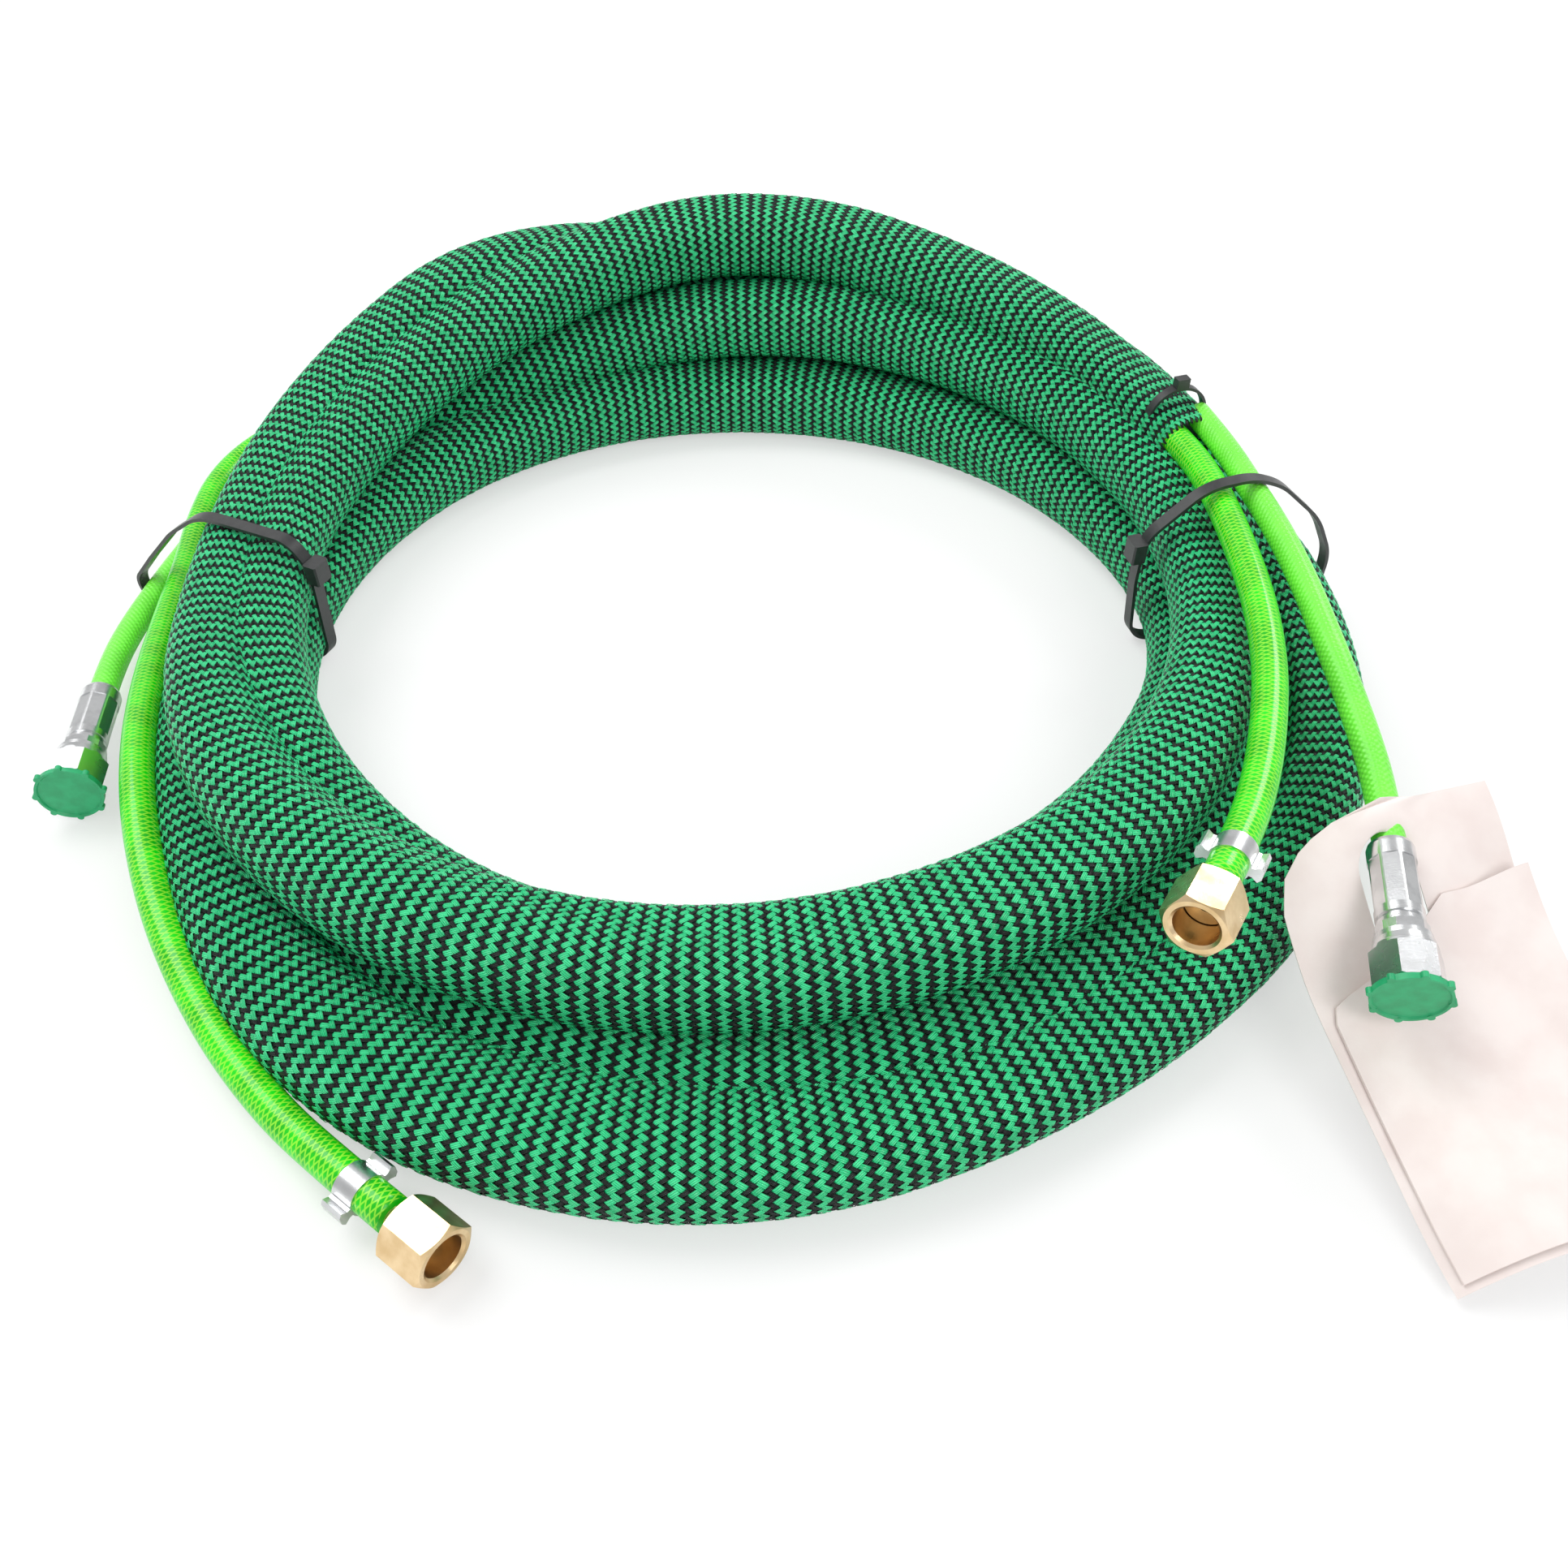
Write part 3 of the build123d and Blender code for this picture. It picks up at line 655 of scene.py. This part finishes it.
def lay_yarns(shape, sleeve, materials):
    """Yarns of the two-over, two-under braid: each stretch that passes over is a short raised strip."""
    rng = np.random.default_rng(YARN_SEED)
    yarns = sleeve.yarns
    last = shape.phase[-1]
    reach, side = np.meshgrid(STRIP_ROWS, STRIP_SIDES, indexing="ij")
    found = []
    for lean in (1, -1):
        offset = 0.5 if lean > 0 else 2.5
        crossing = 4 * np.arange(yarns // 2) + offset
        index = lean * -np.arange(-yarns - 1, int(last) + yarns + 1)
        crossing, index = (grid.ravel() for grid in np.meshgrid(crossing, index, indexing="ij"))
        phase = lean * (crossing - 2 * index) / 2
        keep = (phase > CLEAR_OF_END) & (phase < last - CLEAR_OF_END)
        found.append((lean, phase[keep], crossing[keep] / (2 * yarns), index[keep]))
    piece_of = np.floor((shape.turned + 180) / DEGREES_A_PIECE).astype(int)
    pieces = []
    for colour, material in enumerate(materials):
        strips, tints, places = [], [], []
        lift = np.where(np.abs(reach) > 1.0, -STRIP_TUCK, sleeve.rise[colour])
        lift = lift - np.where(np.abs(side) > 0.5, STRIP_EDGE_DROP, 0.0)
        for lean, phase, around, index in found:
            mine = index % 2 == colour
            phase, around = phase[mine], around[mine]
            row = np.interp(phase, shape.phase, np.arange(len(shape.phase))).astype(int)
            spacing, girth = shape.spacing[row], shape.girth[row]
            sine = girth / sleeve.yarn_length
            cosine = np.sqrt(1 - sine ** 2)
            half = sleeve.cover[colour] * girth / yarns * cosine / 2
            half = half * rng.uniform(1 - YARN_SPREAD, 1 + YARN_SPREAD, len(half))
            back = side * sine[:, None, None] * lean * (half / spacing)[:, None, None]
            strip_phase = phase[:, None, None] + 0.5 * lean * reach - back
            strip_around = around[:, None, None] + reach / (2 * yarns) + side * (cosine * half / girth)[:, None, None]
            height = lift[None] + rng.uniform(-0.00008, 0.00012, len(phase))[:, None, None]
            strips.append(shape.on_surface(strip_phase, strip_around, height))
            tints.append(np.repeat(rng.random(len(phase)), STRIP_POINTS))
            places.append(piece_of[row])
        strips, places = np.concatenate(strips), np.concatenate(places)
        tints = np.concatenate(tints).reshape(-1, STRIP_POINTS)
        for number in range(places.min(), places.max() + 1):
            mine = places == number
            pieces.append(yarn_piece(f"sleeve_yarn_{'gb'[colour]}{number}", strips[mine], tints[mine], material))
    return pieces


def yarn_piece(name, strips, tints, material):
    """One piece of many strips, each four rows of three points, with its faces outwards."""
    cell = np.array([[row * 3 + side, row * 3 + side + 1, row * 3 + side + 4, row * 3 + side + 3]
                     for row in range(3) for side in range(2)])
    points = strips.reshape(-1, 3)
    quads = (np.arange(len(strips))[:, None, None] * STRIP_POINTS + cell[None]).reshape(-1, 4)
    first = quads[2::len(cell)]
    normal = np.cross(points[first[:, 1]] - points[first[:, 0]], points[first[:, 3]] - points[first[:, 0]])
    ends = (strips[:, 0].mean(axis=1) + strips[:, 3].mean(axis=1)) / 2
    outside = (strips[:, 1, 1] + strips[:, 2, 1]) / 2 - ends
    turned = np.einsum("ij,ij->i", normal, outside) < 0
    faces = quads.reshape(-1, len(cell), 4)
    faces[turned] = faces[turned][:, :, ::-1]
    corner = np.array([[side / 2, reach] for reach in (0.0, 0.24, 0.76, 1.0) for side in range(3)])
    uv = corner[faces.reshape(-1) % STRIP_POINTS]
    return add_piece(name, points, faces.reshape(-1, 4), material, uv=uv, shade=tints.reshape(-1))


# ---------------------------------------------------------------------------------------------- operators

class LEAD_OT_stage(bpy.types.Operator):
    """Camera, floor and soft light"""
    bl_idname = "lead.stage"
    bl_label = "Stage"

    def execute(self, context):
        stage = context.scene.lead_stage
        data = bpy.data.cameras.new("view")
        data.lens = stage.camera_lens
        data.sensor_width = 36.0
        camera = bpy.data.objects.new("view", data)
        camera.location = COIL_CENTRE + Vector((stage.camera_side, -stage.camera_back, stage.camera_height))
        camera.rotation_euler = (pi / 2 - stage.camera_pitch, 0.0, 0.0)
        context.scene.collection.objects.link(camera)
        context.scene.camera = camera
        context.scene.view_settings.view_transform = "Standard"

        bpy.ops.object.select_all(action="DESELECT")
        bpy.ops.mesh.primitive_plane_add(size=12.0, location=(0, 0, -0.0003))
        floor = context.object
        floor.name = "floor"
        floor.data.materials.append(self.floor_material(stage.floor))

        world = bpy.data.worlds.new("studio")
        world.use_nodes = True
        world.node_tree.nodes["Background"].inputs[0].default_value = (1.0, 1.0, 1.0, 1.0)
        world.node_tree.nodes["Background"].inputs[1].default_value = 0.62
        context.scene.world = world
        self.lamp("key_light", (-0.9, 0.5, 1.5), 1.1, 17.0)
        self.lamp("front_light", (0.7, -1.1, 1.3), 0.9, 9.0)
        self.lamp("rim_light", (0.9, 0.9, 1.0), 0.5, 6.0)
        return {"FINISHED"}

    def floor_material(self, colour):
        """Pale floor that keeps the object's shadow and looks white to the camera."""
        shader = Shader("floor")
        path = shader.node("ShaderNodeLightPath")
        matte = shader.node("ShaderNodeBsdfDiffuse", inputs={"Color": (*colour, 1.0)})
        glow = shader.node("ShaderNodeEmission", inputs={"Color": (1.0, 1.0, 1.0, 1.0), "Strength": 1.0})
        surface = shader.node("ShaderNodeMixShader", inputs={0: path * 0.55, 1: matte, 2: glow})
        shader.tree.links.new(surface.socket, shader.output.inputs[0])
        return shader.material

    def lamp(self, name, place, size, power):
        """A square soft lamp that faces the coil."""
        data = bpy.data.lights.new(name, "AREA")
        data.size = size
        data.energy = power
        light = bpy.data.objects.new(name, data)
        light.location = place
        light.rotation_euler = (Vector((0, 0, 0.03)) - Vector(place)).to_track_quat("-Z", "Y").to_euler()
        bpy.context.scene.collection.objects.link(light)


class LEAD_OT_sleeve(bpy.types.Operator):
    """Braided sleeve over its whole length"""
    bl_idname = "lead.sleeve"
    bl_label = "Braided sleeve"

    def execute(self, context):
        sleeve = context.scene.lead_sleeve
        shape = SleeveShape(sleeve)
        liner = lay_liner(shape, liner_shade_material())
        green = green_or_black_yarn("green_yarn", tuple(sleeve.green), bright=(0.045, 0.88, 0.35), gloss=0.55)
        black = green_or_black_yarn("black_yarn", tuple(sleeve.black), bright=(0.016, 0.024, 0.020), gloss=0.3)
        yarns = lay_yarns(shape, sleeve, (green, black))
        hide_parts("sleeve_coil")
        return {"FINISHED"}


class LEAD_OT_hoses(bpy.types.Operator):
    """The bare ends of both hoses"""
    bl_idname = "lead.hoses"
    bl_label = "Hoses"

    def execute(self, context):
        hoses = context.scene.lead_hoses
        kinds = {
            "air": (hoses.air_diameter, clear_hose_material(hoses), "clear_hose", ("air_clamp", "air_stem", "air_nut")),
            "fluid": (hoses.fluid_diameter, lime_hose_material(hoses), "lime_hose",
                      ("fluid_ferrule", "fluid_stem", "fluid_nut", "fluid_plug")),
        }
        for node, route in ROUTES.items():
            kind, side = node.split("_")[0], node[-1]
            diameter, material, slot, fittings = kinds[kind]
            points = [COIL_CENTRE + Vector(point) * MM for point in route]
            line = smooth_line(points, 12)
            piece = hose_tube(f"{kind}_hose_{side}", line, diameter, material)
            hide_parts(node)
        return {"FINISHED"}


class LEAD_OT_fittings(bpy.types.Operator):
    """Finish of the metal ends, the plugs and the cable ties"""
    bl_idname = "lead.fittings"
    bl_label = "Fittings and ties"

    def execute(self, context):
        finishes = {
            "air_stem": brass(), "air_nut": brass(), "air_clamp": bright_steel("clamp_steel", roughness=0.26),
            "fluid_ferrule": bright_steel("ferrule_steel"), "fluid_stem": bright_steel("stem_steel"),
            "fluid_nut": bright_steel("nut_steel", roughness=0.24), "fluid_plug": plug_plastic(),
            "sleeve_tie": black_nylon(), "bundle_tie": black_nylon(), "tag_": tag_paper(),
        }
        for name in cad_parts:
            piece = bpy.data.objects[name]
            for start, material in finishes.items():
                if name.startswith(start):
                    for slot in piece.material_slots:
                        slot.material = material
        return {"FINISHED"}


class LEAD_OT_tag(bpy.types.Operator):
    """Paper tag: a cover sheet with the hose's hole, and a booklet of curled leaves on it"""
    bl_idname = "lead.tag"
    bl_label = "Paper tag"

    def execute(self, context):
        tag = context.scene.lead_tag
        paper = tag_paper()
        cover = self.sheet("tag_cover_sheet", tag, COVER_LEFT_EDGE, 0.0, 0.0)
        self.cut_hole(cover)
        leaves = []
        for number in range(tag.leaves):
            share = (number + 1) / tag.leaves
            leaves.append(self.sheet(
                f"tag_leaf_{number + 1}", tag, LEAF_LEFT_EDGE, LEAF_LIFT + LEAF_SPACING * share, tag.fan * share))
        for piece in (cover, *leaves):
            self.settle(piece, paper)
        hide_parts("tag_cover")
        for piece in leaves:
            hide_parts("tag_leaves")
        return {"FINISHED"}

    def sheet(self, name, tag, left_edge, lift, fan):
        """A sheet along +X from the hole: cut to its outline, bent down to the floor and curled."""
        start, foot = left_edge[0][0] * MM, left_edge[-1][0] * MM
        bpy.ops.object.select_all(action="DESELECT")
        bpy.ops.mesh.primitive_grid_add(x_subdivisions=TAG_ROWS, y_subdivisions=TAG_COLUMNS, size=1.0)
        piece = bpy.context.object
        piece.name = piece.data.name = name
        bpy.ops.object.mode_set(mode="EDIT")
        bpy.ops.mesh.select_mode(type="VERT")
        for row in sorted({round(vertex.co.x, 5) for vertex in bmesh.from_edit_mesh(piece.data).verts}):
            self.pick(piece, lambda place: abs(place.x - row) < 1e-4)
            along = start + (row + 0.5) * (foot - start)
            left = np.interp(along / MM, *zip(*left_edge)) * MM
            bpy.ops.transform.resize(value=(1.0, tag.right - left, 1.0), center_override=(0, 0, 0))
            height = self.height(along) + lift
            bpy.ops.transform.translate(value=(along - row + ROWS_ASIDE, (left + tag.right) / 2, height))
        bpy.ops.mesh.select_all(action="SELECT")
        bpy.ops.transform.translate(value=(-ROWS_ASIDE, 0, 0))
        bpy.ops.object.mode_set(mode="OBJECT")
        self.raise_by(piece, "foot_curl", tag.curl, lambda place: rise(TAG_CURL_FROM, TAG_CURL_TO, place.x) * (
            1 - min(1.0, abs(place.y - TAG_CURL_MIDDLE) / TAG_CURL_HALF) ** 2))
        self.raise_by(piece, "hose_hump", HUMP_HEIGHT, lambda place: (
            rise(0.016, 0.0, abs(place.y)) * rise(-0.006, -0.013, place.x)))
        if fan > 0:
            self.raise_by(piece, "fan", fan, lambda place: (
                rise(0.020, tag.right, place.y) * rise(0.092, 0.040, place.x)))
        wall = piece.modifiers.new("paper", "SOLIDIFY")
        wall.thickness = tag.paper
        wall.offset = 1.0
        bpy.ops.object.modifier_apply(modifier=wall.name)
        return piece

    def raise_by(self, piece, name, height, share):
        """Raise each point by its share of a height."""
        group = piece.vertex_groups.new(name=name)
        for vertex in piece.data.vertices:
            group.add([vertex.index], share(vertex.co), "REPLACE")
        lift = piece.modifiers.new(name, "DISPLACE")
        lift.direction = "Z"
        lift.mid_level = 0.0
        lift.strength = height
        lift.vertex_group = name
        bpy.ops.object.modifier_apply(modifier=lift.name)

    def pick(self, piece, wanted):
        """In edit mode, select only the points whose place passes the test."""
        mesh = bmesh.from_edit_mesh(piece.data)
        for vertex in mesh.verts:
            vertex.select_set(False)
        mesh.select_flush(False)
        for vertex in mesh.verts:
            if wanted(vertex.co):
                vertex.select_set(True)
        mesh.select_flush_mode()
        bmesh.update_edit_mesh(piece.data)

    def height(self, along):
        """Height of the tag's underside at a distance down it from the hole, softened over its bend."""
        near = along + np.linspace(-TAG_BEND_REACH, TAG_BEND_REACH, 13)
        return float(np.interp(near, TAG_BEND_AT, TAG_BEND_HEIGHT).mean())

    def cut_hole(self, cover):
        """Cut the slot that the hose passes through."""
        bpy.ops.object.select_all(action="DESELECT")
        bpy.ops.mesh.primitive_cylinder_add(vertices=48, radius=HOLE_R, depth=0.2, location=(HOLE_START, 0, 0))
        cutter = bpy.context.object
        bpy.ops.object.mode_set(mode="EDIT")
        self.pick(cutter, lambda place: place.x > 0.0001)
        bpy.ops.transform.translate(value=(HOLE_LENGTH, 0, 0))
        bpy.ops.object.mode_set(mode="OBJECT")
        bpy.ops.object.select_all(action="DESELECT")
        cover.select_set(True)
        bpy.context.view_layer.objects.active = cover
        hole = cover.modifiers.new("hole", "BOOLEAN")
        hole.object = cutter
        hole.solver = "EXACT"
        bpy.ops.object.modifier_apply(modifier=hole.name)
        bpy.data.objects.remove(cutter)

    def settle(self, piece, paper):
        """Turn a finished sheet to its place on the lead, and give it its paper and its body."""
        bpy.ops.object.select_all(action="DESELECT")
        piece.select_set(True)
        bpy.context.view_layer.objects.active = piece
        piece.rotation_euler = (0, 0, radians(TAG_HEADING))
        piece.location = COIL_CENTRE + Vector(TAG_HOLE) * MM
        bpy.ops.object.transform_apply(location=True, rotation=True, scale=True)
        bpy.ops.object.shade_smooth_by_angle(angle=radians(40))
        piece.data.materials.clear()
        piece.data.materials.append(paper)
        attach(piece, "tag")


class LEAD_PT_panel(bpy.types.Panel):
    """Buttons for each piece"""
    bl_label = "Hose Lead"
    bl_idname = "LEAD_PT_panel"
    bl_space_type = "VIEW_3D"
    bl_region_type = "UI"
    bl_category = "Hose Lead"

    def draw(self, context):
        for operator in MAKING_ORDER:
            self.layout.operator(operator.bl_idname)
        for settings, _ in SETTINGS:
            group = getattr(context.scene, settings)
            for name in group.__annotations__:
                self.layout.prop(group, name)


MAKING_ORDER = (LEAD_OT_stage, LEAD_OT_sleeve, LEAD_OT_hoses, LEAD_OT_fittings, LEAD_OT_tag)
SETTINGS = (
    ("lead_sleeve", SleeveSettings), ("lead_hoses", HoseSettings), ("lead_tag", TagSettings),
    ("lead_stage", StageSettings),
)


def register():
    for _, group in SETTINGS:
        bpy.utils.register_class(group)
    for name, group in SETTINGS:
        setattr(bpy.types.Scene, name, PointerProperty(type=group))
    for operator in MAKING_ORDER:
        bpy.utils.register_class(operator)
    bpy.utils.register_class(LEAD_PT_panel)


def unregister():
    bpy.utils.unregister_class(LEAD_PT_panel)
    for operator in reversed(MAKING_ORDER):
        bpy.utils.unregister_class(operator)
    for name, group in SETTINGS:
        delattr(bpy.types.Scene, name)
        bpy.utils.unregister_class(group)


def main():
    register()
    for operator in MAKING_ORDER:
        group, name = operator.bl_idname.split(".")
        getattr(getattr(bpy.ops, group), name)()


if __name__ == "__main__":
    main()
